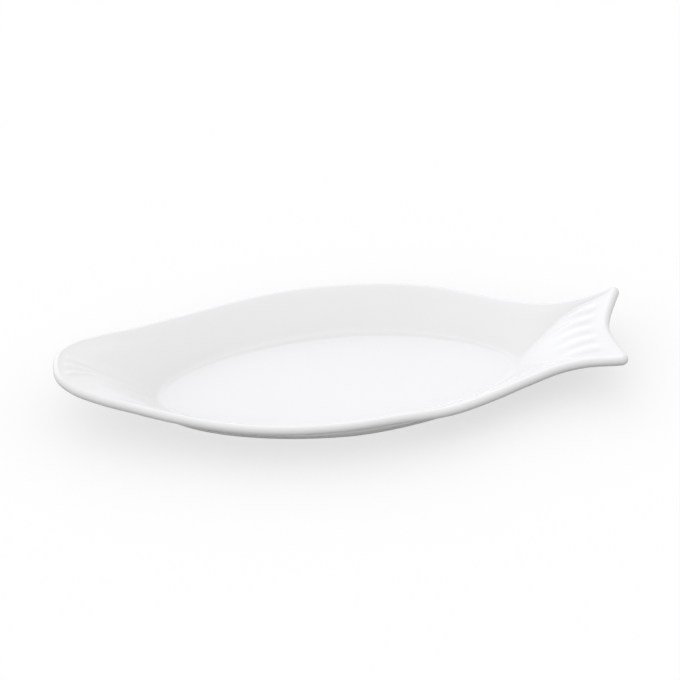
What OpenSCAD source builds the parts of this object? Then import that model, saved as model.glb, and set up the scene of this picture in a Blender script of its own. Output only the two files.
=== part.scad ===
// Fish shaped serving platter of white glazed porcelain.
// The nose points along -X, the tail along +X, and +Z is up.
// The origin lies on the table, under the middle of the platter's plan.
// A fish outline carries a round bead. Inside it the head and the tail are shallow fluted shelves,
// and an oval well with a small step round it is sunk between them.

/* [Outline] */
// Length from the nose to the tips of the tail
platter_length = 400; // [340:5:480]
// Width across the belly
platter_width = 160; // [140:2:190]
// Width across the narrow neck in front of the tail
neck_width = 73; // [62:1:84]
// Width across the tips of the tail
tail_width = 83.5; // [70:0.5:100]
// Depth of the notch between the tips of the tail
notch_depth = 10; // [4:1:16]
// Radius of the tips of the tail, along the middle of the bead
tip_r = 1.2; // [0.6:0.2:3]

/* [Rim] */
// Height of the top of the rim beside the belly
rim_height = 30.5; // [26:0.5:40]
// How much higher the rim stands at the nose
nose_rise = 14; // [6:1:18]
// How much higher the rim stands at the tips of the tail
tail_rise = 5.4; // [2:0.2:10]
// How much the rim sinks between the belly and the neck
rim_dip = 3.8; // [0:0.2:5]
// Thickness of the round bead along the rim
rim_d = 7; // [6:0.5:8]
// Length of the straight run inside the bead, before it turns into the wall
bead_run = 2.4; // [1.8:0.1:3.4]

/* [Well] */
// Length of the flat floor
well_length = 248; // [216:2:256]
// Width of the flat floor
well_width = 96; // [80:1:104]
// How far the middle of the floor lies towards the nose
well_back = 2.5; // [0:0.5:8]
// How far the widest place of the floor lies from the origin, towards the tail
well_widest = 3.5; // [0:0.5:8]
// Height of the small step round the floor
step_h = 2.4; // [1:0.2:3]
// Width of the sloping face of that step
step_run = 2; // [1.6:0.2:3.6]
// Width of the narrow ledge above the step
ledge_w = 3.4; // [1.4:0.2:4]
// Rise of the ledge across its width
ledge_rise = 0.1; // [0:0.1:1]

/* [Wall] */
// Thickness of the floor with its glaze
floor_t = 4.2; // [3.4:0.2:6]
// Thickness of the wall and of both shelves
wall_t = 4.6; // [3.6:0.2:6]
// How far the wall beside the belly is hollowed
wall_cove = 0.2; // [0:0.2:3]
// How far the head stands above a straight slope down to the floor
nose_crown = 13.5; // [5:0.5:15]
// How far the tail stands above a straight slope down to the floor
tail_crown = 9; // [5:0.5:13]
// How much lower the channel along the middle of the head lies
nose_channel = 7.5; // [0:0.5:9]
// How much lower the channel along the middle of the tail lies
tail_channel = 2; // [0:0.5:9]

/* [Foot] */
// Height of the foot ring
foot_h = 1.8; // [1.6:0.2:4]
// Width of the foot ring with its glaze
foot_w = 5; // [3.4:0.2:7]
// How far the foot ring's outer face lies outside the floor
foot_out = 7.5; // [5:0.5:10]

/* [Flutes] */
// Height of the fin rays on the tail
ray_h = 1; // [0.2:0.1:1.4]
// Number of fin rays on the tail
ray_count = 5; // [3:2:7]
// Plain margin between the rim's middle line and the ends of the rays
ray_margin = 5; // [4:0.5:9]
// Length of the fin rays
ray_length = 37; // [24:1:44]
// Height of the flutes on the nose
nose_flute_h = 0.9; // [0.2:0.1:1.2]
// Number of flutes on the nose
nose_flute_count = 3; // [1:2:5]
// Distance between the flutes on the nose, measured along the rim
nose_flute_pitch = 10.5; // [6:0.5:12]
// Distance from the tip of the nose to the point that its flutes run to
nose_flute_focus = 35; // [30:1:50]
// Plain margin between the rim's middle line and the ends of the nose flutes
nose_flute_margin = 3; // [2.5:0.5:9]
// Length of the flutes on the nose
nose_flute_length = 24; // [10:1:26]

/* [Glaze] */
// Thickness of the glaze
glaze_t = 0.4; // [0.3:0.05:0.6]
// Height of the bare band at the bottom of the foot ring
bare_h = 0.8; // [0.4:0.1:1]

/* [Hidden] */
half_l = (platter_length - rim_d) / 2;
half_w = (platter_width - rim_d) / 2;
neck_y = (neck_width - rim_d) / 2;
tail_y = (tail_width - rim_d) / 2;
bead_r = rim_d / 2;
rim_z = rim_height - bead_r;
floor_z = foot_h + floor_t;
well_nose_reach = well_widest + well_back + well_length / 2;
well_tail_reach = well_length / 2 - well_back - well_widest;
// Where the rim starts to rise, and where it sinks and how far around, as shares of the half length
nose_rise_share = 0.325;
tail_rise_share = 0.68;
dip_place_share = 0.52;
dip_reach_share = 0.37;
// How pointed the ends of the floor are: 1 is an ellipse
nose_point_share = 1.05;
tail_point_share = 1.2;
// Height of the step at the ends of the floor, as a share of its height beside the belly
step_end_share = 0.06;
// How fast the step fades towards the ends of the floor, and the crowns away from the ends
step_power = 1.5;
nose_crown_power = 13;
tail_crown_power = 4;
// How far the channels reach to each side, as a share of the way round the floor
nose_channel_share = 0.12;
tail_channel_share = 0.1;
// Share of the rim's width that the middle of a slope keeps, and how much more it keeps along the tail
slope_width_share = 0.5;
tail_width_share = 0.35;
// How sharply the notch turns: 0 is a V
notch_round_share = 0.4;
// Part of the tail's width that carries fin rays
ray_span_share = 0.8;
// Parts of a flute's length in which it rises at the rim and dies away on the shelf
flute_in_share = 0.2;
flute_out_share = 0.5;
// How steep the bead's inner face is, and how far the sides flare at the tips of the tail
bead_angle = 20;
flare_angle = 14;

// The rim's middle line from the nose to the neck.
// x in shares of the half length, y in shares of the half width,
// and last, where the slope below it meets the floor's edge: 0 at the nose, 1 at the tail.
body_shares = [
    [-1, 0, 0],
    [-0.988, 0.175, 0.024],
    [-0.94, 0.314, 0.052],
    [-0.86, 0.425, 0.09],
    [-0.74, 0.544, 0.144],
    [-0.6, 0.686, 0.214],
    [-0.42, 0.849, 0.308],
    [-0.2, 0.975, 0.408],
    [-0.0335, 1, 0.478],
    [0.2, 0.951, 0.584],
    [0.38, 0.86, 0.676],
    [0.54, 0.684, 0.768],
    [0.66, 0.543, 0.844]
];
// The neck: x in shares of the half length, y in shares of the neck's half width
neck_shares = [
    [0.77, 1.037, 0.9],
    [0.86, 1.004, 0.934]
];
tip_landing_share = 0.958;
end_landing_share = 0.972;
// Steps between one outline point and the next
body_steps = [5, 4, 3, 2, 3, 3, 3, 3, 3, 3, 3, 2, 2, 3, 4];
end_steps = 14;
// Places along the two curves of the wall, and along the curve of the underside
upper_places = [0.67, 0.33, 0];
rim_places = [0.7, 0.35, 0];
under_places = [0.33, 0.67];
// Directions from the bead's middle line to its ridges: 90 is up and 180 is outwards
bead_turns = [90, 135, 180];

// Angle at which the tail's end meets its tips
end_angle = atan(notch_depth / tail_y / norm([1, notch_round_share])
    / (norm([1, notch_round_share]) - notch_round_share));
tip_centre = [half_l - tip_r, tail_y - tip_r];
// Half the angle between the two sides of a tip, and the direction in which the tip points
tip_half_angle = (90 - flare_angle - end_angle) / 2;
tip_direction = (90 + flare_angle - end_angle) / 2;

// Directions of the outline round a tip, from the tail's side to its end
tip_angles = [90 + flare_angle, (90 + flare_angle + end_angle) / 2, end_angle, 0];

function tip_point(angle) = tip_centre + tip_r * [cos(angle), sin(angle)];

// Length of a line seen from above
function level(run) = norm([run[0], run[1]]);

// Points that the curve of one side passes through, with one more at each end to set its direction
side_knots = concat(
    [for (row = body_shares) [row[0] * half_l, row[1] * half_w, row[2]]],
    [for (row = neck_shares) [row[0] * half_l, row[1] * neck_y, row[2]]],
    [concat(tip_point(90 + flare_angle), tip_landing_share)]
);
last_knot = len(side_knots) - 1;
last_chord = level(side_knots[last_knot] - side_knots[last_knot - 1]);

function knot(i) =
    i < 0 ? [side_knots[1][0], -side_knots[1][1], -side_knots[1][2]] :
    i > last_knot ? side_knots[last_knot] + last_chord * [cos(flare_angle), sin(flare_angle), 0] :
    side_knots[i];

// Direction of the side's curve at a knot, for one unit of length along it
function knot_slope(i) =
    let (before = knot(i) - knot(i - 1), after = knot(i + 1) - knot(i))
    let (b = level(before), a = level(after))
    (before * a / b + after * b / a) / (a + b);

function between_knots(i, t) =
    let (chord = level(knot(i + 1) - knot(i)))
    knot(i) * (2 * t * t * t - 3 * t * t + 1)
    + knot_slope(i) * chord * (t * t * t - 2 * t * t + t)
    + knot(i + 1) * (3 * t * t - 2 * t * t * t)
    + knot_slope(i + 1) * chord * (t * t * t - t * t);

// The end of the tail, from the tip at 1 to the bottom of the notch at 0
function tail_end_point(v) =
    let (tip = tip_point(-end_angle), notch_x = half_l - notch_depth)
    let (depth = (norm([v, notch_round_share]) - notch_round_share)
        / (norm([1, notch_round_share]) - notch_round_share))
    [notch_x + (tip[0] - notch_x) * depth, tip[1] * v];

// One half of the rim's middle line. Each row is x, y and the landing share.
half_line = concat(
    [for (i = [0:last_knot - 1]) for (k = [0:body_steps[i] - 1]) between_knots(i, k / body_steps[i])],
    [for (angle = tip_angles)
        let (share = (tip_angles[0] - angle) / (tip_angles[0] + end_angle))
        concat(tip_point(angle), tip_landing_share + share * (end_landing_share - tip_landing_share))],
    [for (k = [0:end_steps])
        let (v = 1 - k / end_steps)
        concat(tail_end_point(v), 1 - v * (1 - end_landing_share))]
);
last_half = len(half_line) - 1;
// Half width of the platter along its length
widths = [for (i = [0:last_half - end_steps - len(tip_angles)]) [half_line[i][0], half_line[i][1]]];
// The whole line, round the nose, one side, the tail and the other side. The last value is the side.
line = concat(
    [for (row = half_line) concat(row, 1)],
    [for (i = [last_half - 1:-1:1]) [half_line[i][0], -half_line[i][1], half_line[i][2], -1]]
);
count = len(line);

function around(i) = (i + count) % count;

// Level direction from the rim's middle line towards the inside
function inward(i) =
    let (run = line[around(i + 1)] - line[around(i - 1)])
    [run[1], -run[0]] / level(run);

// Height of the rim's middle line
function rim_z_at(x) =
    let (share = x / half_l)
    rim_z
    + nose_rise * pow(max(0, (-share - nose_rise_share) / (1 - nose_rise_share)), 2)
    + tail_rise * pow(max(0, (share - tail_rise_share) / (1 - tail_rise_share)), 2)
    - rim_dip * pow(max(0, 1 - pow((share - dip_place_share) / dip_reach_share, 2)), 2);

// A point on the floor's edge, or on the same curve grown outwards
function well_point(landing, side, grow) =
    let (a = 180 * landing, c = cos(a), s = sin(a))
    let (reach = c > 0 ? well_nose_reach : well_tail_reach)
    let (point_share = c > 0 ? nose_point_share : tail_point_share)
    [
        well_widest - sign(c) * (reach + grow) * pow(abs(c), point_share),
        side * (well_width / 2 + grow) * pow(abs(s), point_share)
    ];

// Rise from 0 to 1 without a kink
function ease(t) =
    let (u = min(1, max(0, t)))
    u * u * (3 - 2 * u);

// How much of a flute's height is left at a distance from the rim's middle line
function fade(distance, margin, length) =
    ease((distance - margin) / (length * flute_in_share))
    * ease((margin + length - distance) / (length * flute_out_share));

// Waves across a span from -1 to 1 that ends in a trough at both sides
function waves(place, crests) =
    abs(place) >= 1 ? 0 : (1 + cos(180 * (crests * place + crests - 1))) / 2;

// Fin rays run side by side along the tail and keep their share of its width
function ray_z(p) =
    let (end_x = tail_end_point(min(1, abs(p[1]) / tail_y))[0])
    ray_h * waves(p[1] / lookup(p[0], widths) / ray_span_share, ray_count)
    * fade(end_x - p[0], ray_margin, ray_length);

// The flutes of the nose run towards one point on the middle line
function nose_flute_z(p) =
    let (reach = [nose_flute_focus - half_l - p[0], p[1]])
    let (turn = atan2(reach[1], reach[0]), pitch = 2 * asin(nose_flute_pitch / nose_flute_focus / 2))
    nose_flute_h * waves(2 * turn / (pitch * nose_flute_count), nose_flute_count)
    * fade(nose_flute_focus - norm(reach), nose_flute_margin, nose_flute_length);

// A point of the upper surface with the flutes added
function fluted(p) = p + [0, 0, p[0] < 0 ? nose_flute_z(p) : ray_z(p)];

function parabola(a, b, c, t) = (1 - t) * (1 - t) * a + 2 * t * (1 - t) * b + t * t * c;

// A point near the rim, in and up from the rim's middle line
function rim_point(i, in, up) =
    let (p = [line[i][0], line[i][1]] + in * inward(i))
    [p[0], p[1], rim_z_at(line[i][0]) + up];

// A point that is in and down from the bead's top. Near a tip, where both sides of the bead meet,
// it also moves away from the tip.
function inside_point(i, in, down) =
    let (row = line[i], side = row[3], n = inward(i), reach = max(0, in) / tan(tip_half_angle))
    let (tip_way = [row[0] - tip_centre[0], row[1] - side * tip_centre[1]])
    let (along = [n[1], -n[0]], away = sign(tip_way * along) * along)
    let (p = [row[0], row[1]] + (
        in <= 0 ? in * n :
        norm(tip_way) < 2 * tip_r
            ? -in / sin(tip_half_angle) * [cos(tip_direction), side * sin(tip_direction)]
            : in * n + sign(abs(row[1])) * reach * exp(-norm(tip_way) / reach) * away))
    [p[0], p[1], rim_z_at(p[0]) + bead_r - down];

// The point halfway along from one point to another. Its share of the platter's width lies between
// theirs, as near to that of the first point as the kept share says.
function halfway_point(a, b, kept_share) =
    let (x = (a[0] + b[0]) / 2)
    let (a_share = a[1] / lookup(a[0], widths), b_share = b[1] / lookup(b[0], widths))
    let (width_share = b_share + kept_share * (a_share - b_share))
    [x, width_share * lookup(x, widths), (a[2] + b[2]) / 2];

// Points of one section of the glazed surface, from the floor's edge up over the rim and down to the foot
function section(i) =
    let (landing = line[i][2], side = line[i][3], a = 180 * landing)
    let (step_here = step_h * (step_end_share + (1 - step_end_share) * pow(sin(a), step_power)))
    let (q = well_point(landing, side, step_run + ledge_w))
    let (ledge_in = well_point(landing, side, step_run))
    let (foot = well_point(landing, side, foot_out))
    let (at_nose = landing < 0.5, end_crown = at_nose ? nose_crown : tail_crown)
    let (endness = pow(abs(cos(a)), at_nose ? nose_crown_power : tail_crown_power))
    let (kept_share = slope_width_share + (at_nose ? 0 : tail_width_share * endness))
    let (channel = at_nose
        ? nose_channel * pow(max(0, 1 - landing / nose_channel_share), 2)
        : tail_channel * pow(max(0, 1 - (1 - landing) / tail_channel_share), 2))
    let (wall_foot = [q[0], q[1], floor_z + step_here + ledge_rise])
    let (bead_end = inside_point(i, bead_r * sin(bead_angle), bead_r * (1 - cos(bead_angle))))
    let (bend = inside_point(i, bead_r * sin(bead_angle) + bead_run * cos(bead_angle),
        bead_r * (1 - cos(bead_angle)) + bead_run * sin(bead_angle)))
    let (knee = halfway_point(bend, wall_foot, kept_share)
        + [0, 0, (end_crown + wall_cove) * endness - wall_cove - channel])
    let (middle = (bend + knee) / 2)
    let (lean = wall_foot - bend, lean_level = level(lean))
    let (lean_angle = atan2(-lean[2], lean_level))
    let (under_knee = knee - wall_t * [
        sin(lean_angle) * lean[0] / lean_level,
        sin(lean_angle) * lean[1] / lean_level,
        cos(lean_angle)])
    let (under_way = under_knee - rim_point(i, 0, 0))
    let (under_angle = atan2(under_way[2], level(under_way)) - acos(bead_r / norm(under_way)))
    let (under_start = inside_point(i, bead_r * cos(under_angle), bead_r * (1 - sin(under_angle))))
    let (under_middle = (under_start + under_knee) / 2)
    let (foot_top = [foot[0], foot[1], foot_h])
    concat(
        [
            concat(well_point(landing, side, 0), floor_z),
            [ledge_in[0], ledge_in[1], floor_z + step_here],
            wall_foot
        ],
        [for (t = upper_places) fluted(parabola(middle, knee, wall_foot, t))],
        [for (t = rim_places) fluted(parabola(bead_end, bend, middle, t))],
        [for (turn = concat(bead_turns, 270 + under_angle / 2))
            rim_point(i, bead_r * cos(turn), bead_r * sin(turn))],
        [under_start, under_middle],
        [for (t = under_places) parabola(under_middle, under_knee, foot_top, t)],
        [foot_top, [foot[0], foot[1], bare_h]]
    );

glazed = [for (i = [0:count - 1]) section(i)];
rings = len(glazed[0]);
floor_middle = [-well_back, 0, floor_z];

// Outward direction of the glazed surface
function outward(i, k) =
    let (across = glazed[around(i + 1)][k] - glazed[around(i - 1)][k])
    let (along = glazed[i][k + 1] - glazed[i][k - 1])
    let (n = cross(across, along))
    n / norm(n);

// The clay under the glaze. Its floor is level, and its last two rings lie on the foot ring's outer face.
function clay_point(i, k) =
    let (landing = line[i][2], side = line[i][3])
    k == 0 ? glazed[i][0] - [0, 0, glaze_t] :
    k < rings - 2 ? glazed[i][k] - glaze_t * outward(i, k) :
    concat(well_point(landing, side, foot_out - glaze_t), glazed[i][k][2]);

clay = [for (i = [0:count - 1]) [for (k = [0:rings - 1]) clay_point(i, k)]];

// A closed solid from rings of points, one after the other, between a first and a last single point.
// The four-sided gaps between the rings are split along one diagonal, and from ring turned along the other.
module ringed_solid(ring_list, first, last, turned) {
    ring_count = len(ring_list);
    end = ring_count * count + 1;
    points = concat([first], [for (ring = ring_list) each ring], [last]);
    faces = concat(
        [for (i = [0:count - 1]) [0, 1 + i, 1 + around(i + 1)]],
        [for (k = [0:ring_count - 2]) for (i = [0:count - 1])
            let (a = 1 + k * count + i, b = 1 + k * count + around(i + 1))
            each k < turned
                ? [[a, a + count, b], [b, a + count, b + count]]
                : [[a, a + count, b + count], [a, b + count, b]]],
        [for (i = [0:count - 1]) [end - count + around(i + 1), end - count + i, end]]
    );
    polyhedron(points, faces);
}

// The outline of the foot ring, or the same curve grown or shrunk
module foot_outline(grow) {
    polygon([for (row = line) well_point(row[2], row[3], grow)]);
}

module porcelain_body() {
    clay_rings = [for (k = [0:rings - 2]) [for (i = [0:count - 1]) clay[i][k]]];
    color([0.93, 0.92, 0.9])
    ringed_solid(clay_rings, floor_middle - [0, 0, glaze_t], [-well_back, 0, foot_h], rings);
}

module foot_ring() {
    color([0.88, 0.87, 0.84])
    linear_extrude(foot_h)
    difference() {
        foot_outline(foot_out - glaze_t);
        foot_outline(foot_out - foot_w + glaze_t);
    }
}

// The glaze in two pieces: over the whole dish down to the foot ring's bare edge, and under the floor
module glaze() {
    outer_rings = [for (k = [0:rings - 1]) [for (i = [0:count - 1]) glazed[i][k]]];
    inner_rings = [for (k = [rings - 1:-1:0]) [for (i = [0:count - 1]) clay[i][k]]];
    color([0.97, 0.97, 0.97]) {
        ringed_solid(concat(outer_rings, inner_rings), floor_middle, floor_middle - [0, 0, glaze_t], rings);
        difference() {
            translate([0, 0, bare_h])
            linear_extrude(foot_h - bare_h)
            foot_outline(foot_out - foot_w + glaze_t);
            linear_extrude(foot_h - glaze_t)
            foot_outline(foot_out - foot_w);
        }
    }
}

porcelain_body();
foot_ring();
glaze();
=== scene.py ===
from math import atan, cos, pi, radians, sin, sqrt, tan

import bpy
import numpy as np
from mathutils import Matrix, Vector


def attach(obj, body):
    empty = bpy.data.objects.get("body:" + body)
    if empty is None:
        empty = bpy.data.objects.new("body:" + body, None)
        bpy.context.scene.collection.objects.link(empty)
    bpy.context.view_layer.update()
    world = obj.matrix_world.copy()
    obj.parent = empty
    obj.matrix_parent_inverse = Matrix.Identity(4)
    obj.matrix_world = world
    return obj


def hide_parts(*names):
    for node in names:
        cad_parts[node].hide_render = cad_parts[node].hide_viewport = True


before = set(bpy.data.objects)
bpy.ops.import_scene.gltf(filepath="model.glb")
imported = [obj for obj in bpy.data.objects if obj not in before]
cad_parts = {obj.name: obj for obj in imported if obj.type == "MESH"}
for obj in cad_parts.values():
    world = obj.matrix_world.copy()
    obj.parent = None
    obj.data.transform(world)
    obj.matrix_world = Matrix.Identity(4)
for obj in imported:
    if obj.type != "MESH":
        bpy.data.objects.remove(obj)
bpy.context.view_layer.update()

# The porcelain body: one slip-cast piece of clay, fired before glazing and hidden by the glaze. Its
# mould is cut from a fish outline. A round bead runs along that line, and everything inside hangs
# from it and lands on the floor's edge.
mm = 0.001
half_length = 196.5 * mm
half_width = 76.5 * mm
neck_y = 33 * mm
tail_y = 38.25 * mm
notch_depth = 10 * mm
tip_r = 1.2 * mm
flare = radians(14)
bead_r = 3.5 * mm
bead_angle = radians(20)
bead_run = 2.4 * mm

# The outline: x in shares of the half length, y in shares of the half width (or of the neck's), and
# where the slope below it lands on the floor's edge, from 0 at the nose to 1 at the tail. The steps
# say how many points follow each knot, and how many the tip and half of the tail's end have.
body_shares = [
    (-1, 0, 0), (-0.988, 0.175, 0.024), (-0.94, 0.314, 0.052), (-0.86, 0.425, 0.09),
    (-0.74, 0.544, 0.144), (-0.6, 0.686, 0.214), (-0.42, 0.849, 0.308), (-0.2, 0.975, 0.408),
    (-0.0335, 1, 0.478), (0.2, 0.951, 0.584), (0.38, 0.86, 0.676), (0.54, 0.684, 0.768),
    (0.66, 0.543, 0.844),
]
neck_shares = [(0.77, 1.037, 0.9), (0.86, 1.004, 0.934)]
tip_landing, end_landing = 0.958, 0.972
side_steps = [24, 18, 12, 10, 14, 14, 14, 14, 14, 14, 14, 10, 10, 14, 18]
tip_steps, end_steps = 12, 42

# The notch is a rounded V: its depth is measured on a curve that starts flat and ends straight. The
# tips are small arcs: a point lies on one if it is no further from its centre than the radius times
# the slack. The least reach keeps the mitre's size above zero.
notch_round = 0.4
notch_reach = sqrt(1 + notch_round ** 2)
end_angle = atan(notch_depth / tail_y / notch_reach / (notch_reach - notch_round))
tip_centre = np.array([half_length - tip_r, tail_y - tip_r])
tip_half_angle = (pi / 2 - flare - end_angle) / 2
tip_direction = (pi / 2 + flare - end_angle) / 2
tip_slack, least_reach = 1.02, 1e-9


def tip_point(angle):
    return tip_centre + tip_r * np.array([cos(angle), sin(angle)])


def side_knots():
    """Knots of one side from the nose to the tail's tip, with one more at each end for direction."""
    knots = [(x * half_length, y * half_width, landing) for x, y, landing in body_shares]
    knots += [(x * half_length, y * neck_y, landing) for x, y, landing in neck_shares]
    knots.append((*tip_point(pi / 2 + flare), tip_landing))
    knots = np.array(knots)
    chord = np.linalg.norm(knots[-1, :2] - knots[-2, :2])
    beyond = knots[-1] + chord * np.array([cos(flare), sin(flare), 0])
    return np.vstack([knots[1] * [1, -1, -1], knots, beyond])


def smooth_side(knots):
    """Points of a curve through the knots, with the side's steps between one knot and the next."""
    gaps = np.diff(knots, axis=0)
    chords = np.linalg.norm(gaps[:, :2], axis=1)[:, None]
    before, after = chords[:-1], chords[1:]
    slopes = (gaps[:-1] * after / before + gaps[1:] * before / after) / (before + after)
    found = []
    for k, steps in enumerate(side_steps):
        t = (np.arange(steps) / steps)[:, None]
        start, end, chord = knots[k + 1], knots[k + 2], chords[k + 1]
        found.append(
            start * (2 * t ** 3 - 3 * t ** 2 + 1) + slopes[k] * chord * (t ** 3 - 2 * t ** 2 + t)
            + end * (3 * t ** 2 - 2 * t ** 3) + slopes[k + 1] * chord * (t ** 3 - t ** 2)
        )
    return np.vstack(found)


def tail_end(v):
    """The end of the tail, from the tip at 1 to the bottom of the notch at 0."""
    tip, notch_x = tip_point(-end_angle), half_length - notch_depth
    depth = (np.sqrt(v ** 2 + notch_round ** 2) - notch_round) / (notch_reach - notch_round)
    return notch_x + (tip[0] - notch_x) * depth, tip[1] * v


side_line = smooth_side(side_knots())
tip_share = np.arange(tip_steps) / tip_steps
tip_turn = pi / 2 + flare - tip_share * (pi / 2 + flare + end_angle)
tip_line = np.column_stack([
    tip_centre[0] + tip_r * np.cos(tip_turn),
    tip_centre[1] + tip_r * np.sin(tip_turn),
    tip_landing + tip_share * (end_landing - tip_landing),
])
end_share = 1 - np.arange(end_steps + 1) / end_steps
end_line = np.column_stack([*tail_end(end_share), 1 - end_share * (1 - end_landing)])
near_half = np.vstack([side_line, tip_line, end_line])
far_half = near_half[-2:0:-1] * [1, -1, 1]
outline = np.vstack([near_half, far_half])
side_of = np.r_[np.ones(len(near_half)), -np.ones(len(far_half))]
count = len(outline)
rim_xy, landing = outline[:, :2], outline[:, 2]
run = np.roll(rim_xy, -1, axis=0) - np.roll(rim_xy, 1, axis=0)
run /= np.linalg.norm(run, axis=1)[:, None]
inward = np.column_stack([run[:, 1], -run[:, 0]])

# The bead's height along the platter: it rises to the nose and the tips, and sinks before the neck.
rim_z = 27 * mm
nose_rise, nose_rise_share = 14 * mm, 0.325
tail_rise, tail_rise_share = 5.4 * mm, 0.68
rim_dip, dip_place_share, dip_reach_share = 3.8 * mm, 0.52, 0.37


def half_width_at(x):
    return np.interp(x, side_line[:, 0], side_line[:, 1])


def rim_height(x):
    along = x / half_length
    nose = np.maximum(0, (-along - nose_rise_share) / (1 - nose_rise_share))
    tail = np.maximum(0, (along - tail_rise_share) / (1 - tail_rise_share))
    dip = np.maximum(0, 1 - ((along - dip_place_share) / dip_reach_share) ** 2)
    return rim_z + nose_rise * nose ** 2 + tail_rise * tail ** 2 - rim_dip * dip ** 2


def bead_point(direction):
    """Points on the round bead: 90 degrees is its top and 180 its outermost line."""
    xy = rim_xy + (bead_r * np.cos(direction))[:, None] * inward
    return np.column_stack([xy, rim_height(rim_xy[:, 0]) + bead_r * np.sin(direction)])


def inside_point(reach, down):
    """Points in from the bead and down from its top. At a tip the two sides meet in a mitre."""
    reach, down = np.broadcast_to(reach, count), np.broadcast_to(down, count)
    to_tip = rim_xy - np.column_stack([np.full(count, tip_centre[0]), side_of * tip_centre[1]])
    distance = np.linalg.norm(to_tip, axis=1)
    along = np.column_stack([inward[:, 1], -inward[:, 0]])
    away = np.sign((to_tip * along).sum(axis=1))[:, None] * along
    on_side = np.sqrt(np.maximum(0, distance ** 2 - tip_r ** 2))
    mitre = np.maximum(reach, least_reach) / tan(tip_half_angle)
    slide = np.sign(np.abs(rim_xy[:, 1])) * mitre * np.exp(-on_side / mitre) * (reach > 0)
    xy = rim_xy + reach[:, None] * inward + slide[:, None] * away
    into = np.column_stack([np.full(count, cos(tip_direction)), side_of * sin(tip_direction)])
    round_tip = (distance < tip_slack * tip_r) & (reach > 0)
    xy[round_tip] = (rim_xy - (reach / sin(tip_half_angle))[:, None] * into)[round_tip]
    return np.column_stack([xy, rim_height(xy[:, 0]) + bead_r - down])


# The floor is a pointed oval whose edge carries a small step and a narrow ledge.
well_length, well_width = 248 * mm, 96 * mm
well_back, well_widest = 2.5 * mm, 3.5 * mm
nose_point_share, tail_point_share = 1.05, 1.2
foot_h, foot_out, floor_t = 1.8 * mm, 7.5 * mm, 4.2 * mm
floor_z = foot_h + floor_t
step_h, step_run, step_end_share, step_power = 2.4 * mm, 2 * mm, 0.06, 1.5
ledge_w, ledge_rise = 3.4 * mm, 0.1 * mm
at_nose = landing < 0.5


def well_ring(grow, z):
    """The floor's edge, or the same curve grown outwards, at a height."""
    c, s = np.cos(pi * landing), np.sin(pi * landing)
    reach = np.where(at_nose, well_widest + well_back, -well_back - well_widest) + well_length / 2
    point_share = np.where(at_nose, nose_point_share, tail_point_share)
    x = well_widest - np.sign(c) * (reach + grow) * np.abs(c) ** point_share
    y = side_of * (well_width / 2 + grow) * np.abs(s) ** point_share
    return np.column_stack([x, y, np.broadcast_to(z, count)])


step_here = step_h * (step_end_share + (1 - step_end_share) * np.sin(pi * landing) ** step_power)
ledge_in = well_ring(step_run, floor_z + step_here)
wall_foot = well_ring(step_run + ledge_w, floor_z + step_here + ledge_rise)

# The wall swells into the head and the tail, with a soft channel along the middle of each. It curves
# from the bead's end by the bend and the knee to its foot on the ledge, and below it the underside
# leaves the bead where a line towards the knee's lower side touches it.
wall_t, wall_cove = 4.6 * mm, 0.2 * mm
nose_crown, nose_crown_power = 13.5 * mm, 13
tail_crown, tail_crown_power = 9 * mm, 4
nose_channel, nose_channel_share = 7.5 * mm, 0.12
tail_channel, tail_channel_share = 2 * mm, 0.1
slope_width_share, tail_width_share = 0.5, 0.35

bead_end = inside_point(bead_r * sin(bead_angle), bead_r * (1 - cos(bead_angle)))
bend = inside_point(
    bead_r * sin(bead_angle) + bead_run * cos(bead_angle),
    bead_r * (1 - cos(bead_angle)) + bead_run * sin(bead_angle),
)
endness = np.abs(np.cos(pi * landing)) ** np.where(at_nose, nose_crown_power, tail_crown_power)
crown = np.where(at_nose, nose_crown, tail_crown)
aside = np.minimum(1, np.where(at_nose, landing / nose_channel_share, (1 - landing) / tail_channel_share))
channel = np.where(at_nose, nose_channel, tail_channel) * (1 - aside) ** 2
kept_share = slope_width_share + np.where(at_nose, 0, tail_width_share * endness)
bend_share = bend[:, 1] / half_width_at(bend[:, 0])
foot_share = wall_foot[:, 1] / half_width_at(wall_foot[:, 0])
knee_x = (bend[:, 0] + wall_foot[:, 0]) / 2
knee = np.column_stack([
    knee_x,
    (foot_share + kept_share * (bend_share - foot_share)) * half_width_at(knee_x),
    (bend[:, 2] + wall_foot[:, 2]) / 2 - wall_cove + (crown + wall_cove) * endness - channel,
])
middle = (bend + knee) / 2
lean = wall_foot - bend
lean_level = np.linalg.norm(lean[:, :2], axis=1)
lean_angle = np.arctan2(-lean[:, 2], lean_level)
under_knee = knee - wall_t * np.column_stack([
    np.sin(lean_angle) * lean[:, 0] / lean_level,
    np.sin(lean_angle) * lean[:, 1] / lean_level,
    np.cos(lean_angle),
])
under_way = under_knee - np.column_stack([rim_xy, rim_height(rim_xy[:, 0])])
under_slope = np.arctan2(under_way[:, 2], np.linalg.norm(under_way[:, :2], axis=1))
under_angle = under_slope - np.arccos(bead_r / np.linalg.norm(under_way, axis=1))
under_start = inside_point(bead_r * np.cos(under_angle), bead_r * (1 - np.sin(under_angle)))
under_middle = (under_start + under_knee) / 2
foot_top = well_ring(foot_out, foot_h)

# Coat and mesh: the clay lies a glaze's thickness under the glazed surface, ring by ring. The foot
# stays bare for a band above the table.
glaze_t = 0.4 * mm
bare_h = 0.8 * mm
inner_floor = 4 * mm
floor_rings, step_rings, ledge_rings, wall_rings, bend_rings = 2, 5, 4, 12, 14
bead_rings, under_rings, foot_rings = 21, 9, 3
wall_start_share = 0.9


def curve(a, b, c, t):
    """The place at share t of a parabola that leaves a and arrives at c, both aimed at b."""
    return (1 - t) ** 2 * a + 2 * t * (1 - t) * b + t ** 2 * c


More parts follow.
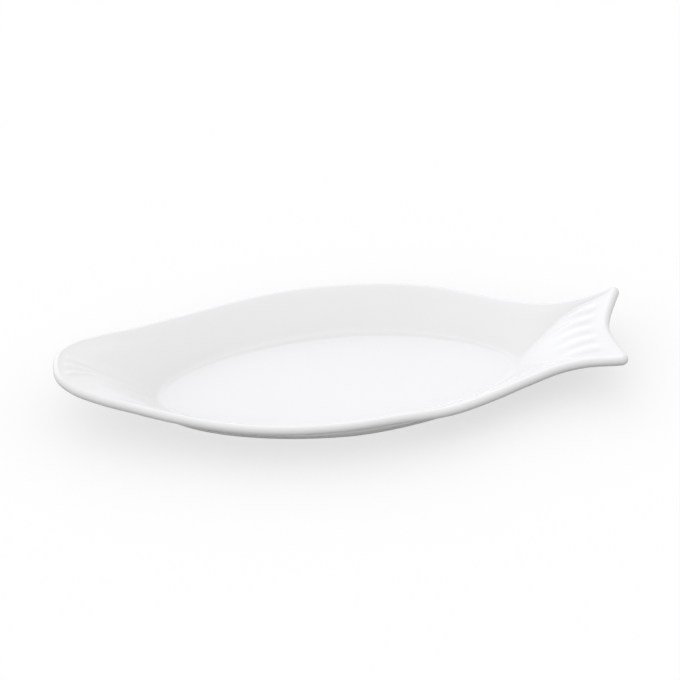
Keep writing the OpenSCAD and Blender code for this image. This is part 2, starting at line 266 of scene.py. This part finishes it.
def curve_rings(a, b, c, first, last, rings):
    """Rings along that parabola, from the first share to the last."""
    return [curve(a, b, c, t) for t in np.linspace(first, last, rings)]


def dish_rings():
    """The glazed surface: floor, step, ledge, wall, bead, underside, and down the foot."""
    floor_in, floor_edge = well_ring(-inner_floor, floor_z), well_ring(0, floor_z)
    floor_out = (floor_in + floor_edge * 4) / 5
    mid_step, mid_ledge = (floor_edge + ledge_in) / 2, (ledge_in + wall_foot) / 2
    wall_start = curve(middle, knee, wall_foot, wall_start_share)
    rings = [floor_in, floor_out]
    rings += curve_rings(floor_out, floor_edge, mid_step, 0.2, 1, step_rings)
    rings += curve_rings(mid_step, ledge_in, mid_ledge, 0.25, 1, ledge_rings)
    rings += curve_rings(mid_ledge, wall_foot, wall_start, 0.25, 1, ledge_rings)
    rings += curve_rings(middle, knee, wall_foot, 0.82, 0, wall_rings)
    rings += curve_rings(bead_end, bend, middle, 0.94, 0, bend_rings)
    inner_angle = pi / 2 - bead_angle
    round_angle = 2 * pi + under_angle - inner_angle
    for k in range(1, bead_rings + 1):
        rings.append(bead_point(inner_angle + round_angle * k / (bead_rings + 1)))
    rings += [under_start, (under_start * 2 + under_middle) / 3, (under_start + under_middle * 2) / 3]
    rings += curve_rings(under_middle, under_knee, foot_top, 0, 0.94, under_rings)
    glaze_end = well_ring(foot_out, bare_h)
    return rings + [foot_top, (foot_top * 2 + glaze_end) / 3, glaze_end]


def clay_rings(rings):
    """The clay under the glaze. Its floor is level, and its last rings lie on the foot's outer face."""
    grid = np.array(rings)
    across = np.roll(grid, -1, axis=1) - np.roll(grid, 1, axis=1)
    outward = np.cross(across, np.gradient(grid, axis=0))
    grid = grid - glaze_t * outward / np.linalg.norm(outward, axis=2)[:, :, None]
    for k in range(floor_rings):
        grid[k] = rings[k] - [0, 0, glaze_t]
    for k in range(-foot_rings, 0):
        grid[k] = well_ring(foot_out - glaze_t, rings[k][:, 2])
    return list(grid)


def new_piece(name, points, faces):
    """A smooth mesh in the scene."""
    mesh = bpy.data.meshes.new(name)
    mesh.from_pydata([tuple(p) for p in points], [], [tuple(int(i) for i in f) for f in faces])
    mesh.shade_smooth()
    piece = bpy.data.objects.new(name, mesh)
    bpy.context.scene.collection.objects.link(piece)
    return piece


def shell(name, shells):
    """A piece from closed shells, each a list of rings between a first and a last single point."""
    points, faces = [], []
    place = np.arange(count)
    after = (place + 1) % count
    for rings, first, last in shells:
        start = len(points)
        points += [first, *np.vstack(rings), last]
        base, end = start + 1, start + 1 + len(rings) * count
        faces += [(start, base + a, base + b) for a, b in zip(place, after)]
        for k in range(len(rings) - 1):
            a, b = base + k * count + place, base + k * count + after
            faces += list(zip(a, a + count, b + count, b))
        faces += [(end - count + b, end - count + a, end) for a, b in zip(place, after)]
    return new_piece(name, points, faces)


class Value:
    """A socket of a node tree that can be added, multiplied and compared."""

    def __init__(self, tree, socket=None):
        self.tree, self.socket = tree, socket

    def into(self, socket):
        self.tree.links.new(self.socket, socket)

    def node(self, kind, settings=None, output=0, **inputs):
        """A new node: its settings first, then its sockets by name, or as i0, i1 by place."""
        made = self.tree.nodes.new(kind)
        for key, value in (settings or {}).items():
            setattr(made, key, value)
        for key, value in inputs.items():
            by_place = key[0] == "i" and key[1:].isdigit()
            socket = made.inputs[int(key[1:]) if by_place else key.replace("_", " ")]
            if isinstance(value, Value):
                value.into(socket)
            else:
                socket.default_value = value
        return Value(self.tree, made.outputs[output])

    def math(self, operation, *values):
        by_place = {f"i{k}": value for k, value in enumerate(values)}
        return self.node("ShaderNodeMath", {"operation": operation}, **by_place)

    def blend(self, first, second):
        """One colour where the value is 0, turning into another where it is 1."""
        return self.node("ShaderNodeMix", {"data_type": "RGBA"}, 2, Factor=self, i6=first, i7=second)

    def __add__(self, other):
        return self.math("ADD", self, other)

    def __sub__(self, other):
        return self.math("SUBTRACT", self, other)

    def __rsub__(self, other):
        return self.math("SUBTRACT", other, self)

    def __mul__(self, other):
        return self.math("MULTIPLY", self, other)

    def __lt__(self, other):
        return self.math("LESS_THAN", self, other)

    def __gt__(self, other):
        return self.math("GREATER_THAN", self, other)

    __radd__ = __add__


def new_finish(name):
    """A new material with its shader, and the place on the piece that its patterns read."""
    material = bpy.data.materials.new(name)
    material.use_nodes = True
    place = Value(material.node_tree).node("ShaderNodeTexCoord", output=3)
    return material, material.node_tree.nodes["Principled BSDF"], place


# The body's last ring lies a little way down the foot, out of sight in the foot ring.
dish = dish_rings()
clay = clay_rings(dish)
floor_middle = np.array([-well_back, 0, floor_z])
foot_middle = np.array([-well_back, 0, foot_h])
body = shell("clay_body", [(clay[:-1], floor_middle - [0, 0, glaze_t], foot_middle)])

fired_clay, shader, place = new_finish("fired_clay")
grain = place.node("ShaderNodeTexNoise", i0=place, Scale=900.0, Detail=4.0)
dark_clay, pale_clay = (0.8, 0.79, 0.76, 1), (0.88, 0.87, 0.84, 1)
grain.blend(dark_clay, pale_clay).into(shader.inputs["Base Color"])
shader.inputs["Roughness"].default_value = 0.8
body.data.materials.append(fired_clay)
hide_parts("porcelain_body")
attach(body, "root")


# The foot ring: the bare rim of fired clay that the platter stands on, part of the same casting.
# Its glaze is wiped off before firing so that it doesn't stick to the kiln shelf, and its edges are
# rubbed smooth.
foot_w = 5 * mm
foot_edge_r = 0.45 * mm
out_face, in_face = foot_out - glaze_t, foot_out - foot_w + glaze_t
edge_points = 7
edge_turns = np.linspace(0, pi / 2, edge_points)
profile = [(in_face, foot_h), (out_face, foot_h)]
profile += [(out_face - foot_edge_r * (1 - cos(a)), foot_edge_r * (1 - sin(a))) for a in edge_turns]
profile.append(((out_face + in_face) / 2, 0))
profile += [(in_face + foot_edge_r * (1 - sin(a)), foot_edge_r * (1 - cos(a))) for a in edge_turns]
foot_faces = []
for k in range(len(profile)):
    below = (k + 1) % len(profile)
    for i in range(count):
        after = (i + 1) % count
        foot_faces.append((k * count + i, below * count + i, below * count + after, k * count + after))
foot = new_piece("foot", np.vstack([well_ring(grow, z) for grow, z in profile]), foot_faces)

bare_clay, shader, place = new_finish("bare_foot")
grain = place.node("ShaderNodeTexNoise", i0=place, Scale=1400.0, Detail=5.0)
stain = place.node("ShaderNodeTexNoise", i0=place, Scale=60.0, Detail=3.0)
stained_foot, clean_foot = (0.62, 0.59, 0.54, 1), (0.83, 0.81, 0.77, 1)
tone = (stain * 0.6 + grain * 0.4).blend(stained_foot, clean_foot)
tone.into(shader.inputs["Base Color"])
(0.7 + grain * 0.2).into(shader.inputs["Roughness"])
rubbed = place.node("ShaderNodeBump", Strength=0.4, Distance=0.1 * mm, Height=grain)
rubbed.into(shader.inputs["Normal"])
foot.data.materials.append(bare_clay)
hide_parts("foot_ring")
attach(foot, "root")


# The glaze: a glossy white coat, fused to the clay in the second firing. It covers the dish on both
# sides, down to the foot's bare band, and the floor's underside within the foot. The flutes pressed
# into the head and the tail show through it.
tray_face, tray_top = foot_out - foot_w, foot_h - glaze_t
tray_corner = 0.3 * glaze_t
tray_profile = [
    (in_face, foot_h), (in_face, bare_h), (tray_face, bare_h), (tray_face, tray_top - glaze_t),
    (tray_face - tray_corner, tray_top - tray_corner), (tray_face - glaze_t, tray_top),
    (tray_face - inner_floor, tray_top),
]
tray = [well_ring(grow, z) for grow, z in tray_profile]
glaze = shell("white_glaze", [
    (dish + clay[::-1], floor_middle, floor_middle - [0, 0, glaze_t]),
    (tray, foot_middle, foot_middle - [0, 0, glaze_t]),
])

# Each point between the ledge and the bead knows its place across the flutes, from -1 to 1, and its
# reach in from the rim along them. Rays keep their share of the tail's width, and the flutes of the
# nose run towards one point. The coat's inner face counts its rings backwards, so it rises alike.
first_fluted = floor_rings + step_rings + ledge_rings + 1
last_fluted = floor_rings + step_rings + 2 * ledge_rings + wall_rings + bend_rings
ray_count, ray_h, ray_margin, ray_length, ray_span_share = 5, 1 * mm, 5 * mm, 37 * mm, 0.8
nose_flute_count, nose_flute_h, nose_flute_margin, nose_flute_length = 3, 0.9 * mm, 3 * mm, 24 * mm
nose_flute_pitch, nose_flute_focus = 10.5 * mm, 35 * mm
rise_share, fade_share = 0.2, 0.5
off_the_flutes = 2
glaze_points = np.empty(len(glaze.data.vertices) * 3)
glaze.data.vertices.foreach_get("co", glaze_points)
x, y = glaze_points.reshape(-1, 3).T[:2]
ring = (np.arange(len(x)) - 1) // count
ring = np.minimum(ring, 2 * len(dish) - 1 - ring)
fluted = (ring >= first_fluted) & (ring <= last_fluted)
tail_x = np.maximum(0, x)
ray_place = np.where(fluted & (x > 0), y / half_width_at(tail_x) / ray_span_share, off_the_flutes)
ray_reach = tail_end(np.minimum(1, np.abs(y) / tail_y))[0] - x
focus_x = nose_flute_focus - half_length
turn = np.arctan2(y, focus_x - x)
pitch = 2 * np.arcsin(nose_flute_pitch / nose_flute_focus / 2)
nose_place = np.where(fluted & (x < 0), 2 * turn / (pitch * nose_flute_count), off_the_flutes)
nose_reach = nose_flute_focus - np.hypot(focus_x - x, y)
for name, values in (("ray_place", ray_place), ("ray_reach", ray_reach),
                     ("nose_place", nose_place), ("nose_reach", nose_reach)):
    attribute = glaze.data.attributes.new(name, "FLOAT", "POINT")
    attribute.data.foreach_set("value", values.astype(np.float32))


def flute_tree():
    """Raises flutes side by side: waves across a place attribute, faded along a reach attribute."""
    tree = bpy.data.node_groups.new("flutes", "GeometryNodeTree")
    inputs = [("Geometry", "Geometry"), ("Place", "String"), ("Reach", "String"), ("Count", "Float"),
              ("Height", "Float"), ("Margin", "Float"), ("Length", "Float"), ("Rise Share", "Float"),
              ("Fade Share", "Float"), ("Finish", "Material")]
    for name, kind in inputs:
        tree.interface.new_socket(name, in_out="INPUT", socket_type="NodeSocket" + kind)
    tree.interface.new_socket("Geometry", in_out="OUTPUT", socket_type="NodeSocketGeometry")
    entry = tree.nodes.new("NodeGroupInput")
    given = {name: Value(tree, entry.outputs[name]) for name, kind in inputs}
    start, number, margin, length = given["Geometry"], given["Count"], given["Margin"], given["Length"]
    place = start.node("GeometryNodeInputNamedAttribute", {"data_type": "FLOAT"}, Name=given["Place"])
    reach = start.node("GeometryNodeInputNamedAttribute", {"data_type": "FLOAT"}, Name=given["Reach"])
    wave = (start.math("COSINE", (number * place + number - 1) * pi) + 1) * 0.5
    within = start.math("ABSOLUTE", place) < 1
    ease = {"interpolation_type": "SMOOTHSTEP"}
    rise = start.node("ShaderNodeMapRange", ease, Value=reach, From_Min=margin,
                      From_Max=margin + length * given["Rise Share"])
    fade = start.node("ShaderNodeMapRange", ease, Value=reach,
                      From_Min=margin + length * (1 - given["Fade Share"]), From_Max=margin + length,
                      To_Min=1.0, To_Max=0.0)
    lift = start.node("ShaderNodeCombineXYZ", Z=given["Height"] * wave * within * rise * fade)
    raised = start.node("GeometryNodeSetPosition", Geometry=start, Offset=lift)
    whole = start.node("GeometryNodeRealizeInstances", Geometry=raised)
    coated = start.node("GeometryNodeSetMaterial", Geometry=whole, Material=given["Finish"])
    coated.into(tree.nodes.new("NodeGroupOutput").inputs["Geometry"])
    return tree


# The glaze is almost even: it pools a little, has a faint ripple, and a few pin-sized iron specks.
white_glaze, shader, place = new_finish("white_glaze")
swell = place.node("ShaderNodeTexNoise", i0=place, Scale=38.0, Detail=2.0, Roughness=0.5)
peel = place.node("ShaderNodeTexNoise", i0=place, Scale=420.0, Detail=2.0, Roughness=0.5)
cloud = place.node("ShaderNodeTexNoise", i0=place, Scale=14.0, Detail=3.0, Roughness=0.6)
speck_limit, speck_size, speck_strength = 0.93, 0.035, 0.5
cell, cell_number = (
    place.node("ShaderNodeTexVoronoi", {"feature": "F1"}, output, i0=place, Scale=110.0)
    for output in (0, 1)
)
few = place.node("ShaderNodeSeparateColor", i0=cell_number) > speck_limit
cool_white, warm_white, iron = (0.925, 0.93, 0.932, 1), (0.955, 0.955, 0.95, 1), (0.5, 0.47, 0.43, 1)
tone = cloud.blend(cool_white, warm_white)
tone = ((cell < speck_size) * few * speck_strength).blend(tone, iron)
tone.into(shader.inputs["Base Color"])
(0.1 + cloud * 0.08).into(shader.inputs["Roughness"])
relief = place.node("ShaderNodeBump", Strength=0.25, Distance=0.4 * mm, Height=swell + peel * 0.06)
relief.into(shader.inputs["Normal"])

flutes = flute_tree()
sockets = {item.name: item.identifier for item in flutes.interface.items_tree if item.in_out == "INPUT"}
for settings in (
    {"Place": "ray_place", "Reach": "ray_reach", "Count": float(ray_count), "Height": ray_h,
     "Margin": ray_margin, "Length": ray_length},
    {"Place": "nose_place", "Reach": "nose_reach", "Count": float(nose_flute_count),
     "Height": nose_flute_h, "Margin": nose_flute_margin, "Length": nose_flute_length},
):
    pressed = glaze.modifiers.new("flutes", "NODES")
    pressed.node_group = flutes
    settings |= {"Rise Share": rise_share, "Fade Share": fade_share, "Finish": white_glaze}
    for name, value in settings.items():
        pressed[sockets[name]] = value
bpy.context.view_layer.update()
plain = bpy.data.meshes.new_from_object(glaze.evaluated_get(bpy.context.evaluated_depsgraph_get()))
glaze.modifiers.clear()
glaze.data = plain
glaze.data.shade_smooth()
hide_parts("glaze")
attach(glaze, "root")


# The table: a plain white sheet without edges in view. The camera, and what the glaze mirrors, see
# it bright and with the platter's shadow, and it throws little light back at the platter.
table_reach = 12.0
corners = [(-table_reach, -table_reach, 0), (table_reach, -table_reach, 0),
           (table_reach, table_reach, 0), (-table_reach, table_reach, 0)]
table = new_piece("table", corners, [(0, 1, 2, 3)])


def in_view(start):
    """1 for what the camera sees, straight or in a mirror or through glass, and 0 for other light."""
    seen, mirrored, through = (start.node("ShaderNodeLightPath", output=k) for k in (0, 3, 6))
    return start.math("MAXIMUM", start.math("MAXIMUM", seen, mirrored), through)


white_paper, shader, place = new_finish("white_paper")
white_paper.node_tree.nodes.remove(shader)
plain_paper = place.node("ShaderNodeBsdfDiffuse", Color=(0.04, 0.04, 0.04, 1))
bright_paper = place.node("ShaderNodeBsdfDiffuse", Color=(0.4, 0.4, 0.4, 1))
glow = place.node("ShaderNodeEmission", Color=(1, 1, 1, 1), Strength=0.62)
bright_paper = place.node("ShaderNodeAddShader", i0=bright_paper, i1=glow)
paper = place.node("ShaderNodeMixShader", i0=in_view(place), i1=plain_paper, i2=bright_paper)
paper.into(white_paper.node_tree.nodes["Material Output"].inputs["Surface"])
table.data.materials.append(white_paper)


# The light: an even bright room with a white backdrop, a large soft lamp above and behind the platter
# and a little to the left, and a faint one low in front of its nose.
room = bpy.data.worlds.new("room")
bpy.context.scene.world = room
room.use_nodes = True
start = Value(room.node_tree)
air = start.node("ShaderNodeBackground", Color=(1, 1, 1, 1), Strength=0.85)
backdrop = start.node("ShaderNodeBackground", Color=(1, 1, 1, 1), Strength=1.0)
sky = start.node("ShaderNodeMixShader", i0=in_view(start), i1=air, i2=backdrop)
sky.into(room.node_tree.nodes["World Output"].inputs["Surface"])

lamp_angle = radians(60)
for name, energy, color, direction in (
    ("soft_lamp", 0.6, (0.86, 0.87, 1), (-0.35, 0.8, 0.48)),
    ("faint_lamp", 0.2, (1, 1, 1), (-0.85, -0.4, 0.25)),
):
    lamp = bpy.data.lights.new(name, "SUN")
    lamp.energy, lamp.color, lamp.angle = energy, color, lamp_angle
    lamp_place = bpy.data.objects.new(name, lamp)
    lamp_place.matrix_world = Vector(direction).to_track_quat("Z", "Y").to_matrix().to_4x4()
    bpy.context.scene.collection.objects.link(lamp_place)


# The camera: in front of the belly with a long lens, 39 degrees above the table, turned by 1.8
# degrees and rolled by 6.4 degrees.
lens = bpy.data.cameras.new("camera")
lens.sensor_width = 36
lens.lens = 241.4
lens.clip_end = 40
elevation, roll, turned, distance = radians(39), radians(6.36), radians(1.79), 3.2095
aim = Vector((0.00122, 0.02067, 0.02547))
sideways = Vector((cos(turned), sin(turned), 0))
upright = sin(elevation) * Vector((-sin(turned), cos(turned), 0)) + cos(elevation) * Vector((0, 0, 1))
right = cos(roll) * sideways - sin(roll) * upright
up = sin(roll) * sideways + cos(roll) * upright
back = right.cross(up)
stand = Matrix((right, up, back)).transposed().to_4x4()
stand.translation = aim + back * distance
camera = bpy.data.objects.new("camera", lens)
camera.matrix_world = stand
bpy.context.scene.collection.objects.link(camera)
bpy.context.scene.camera = camera
bpy.context.scene.view_settings.view_transform = "Standard"
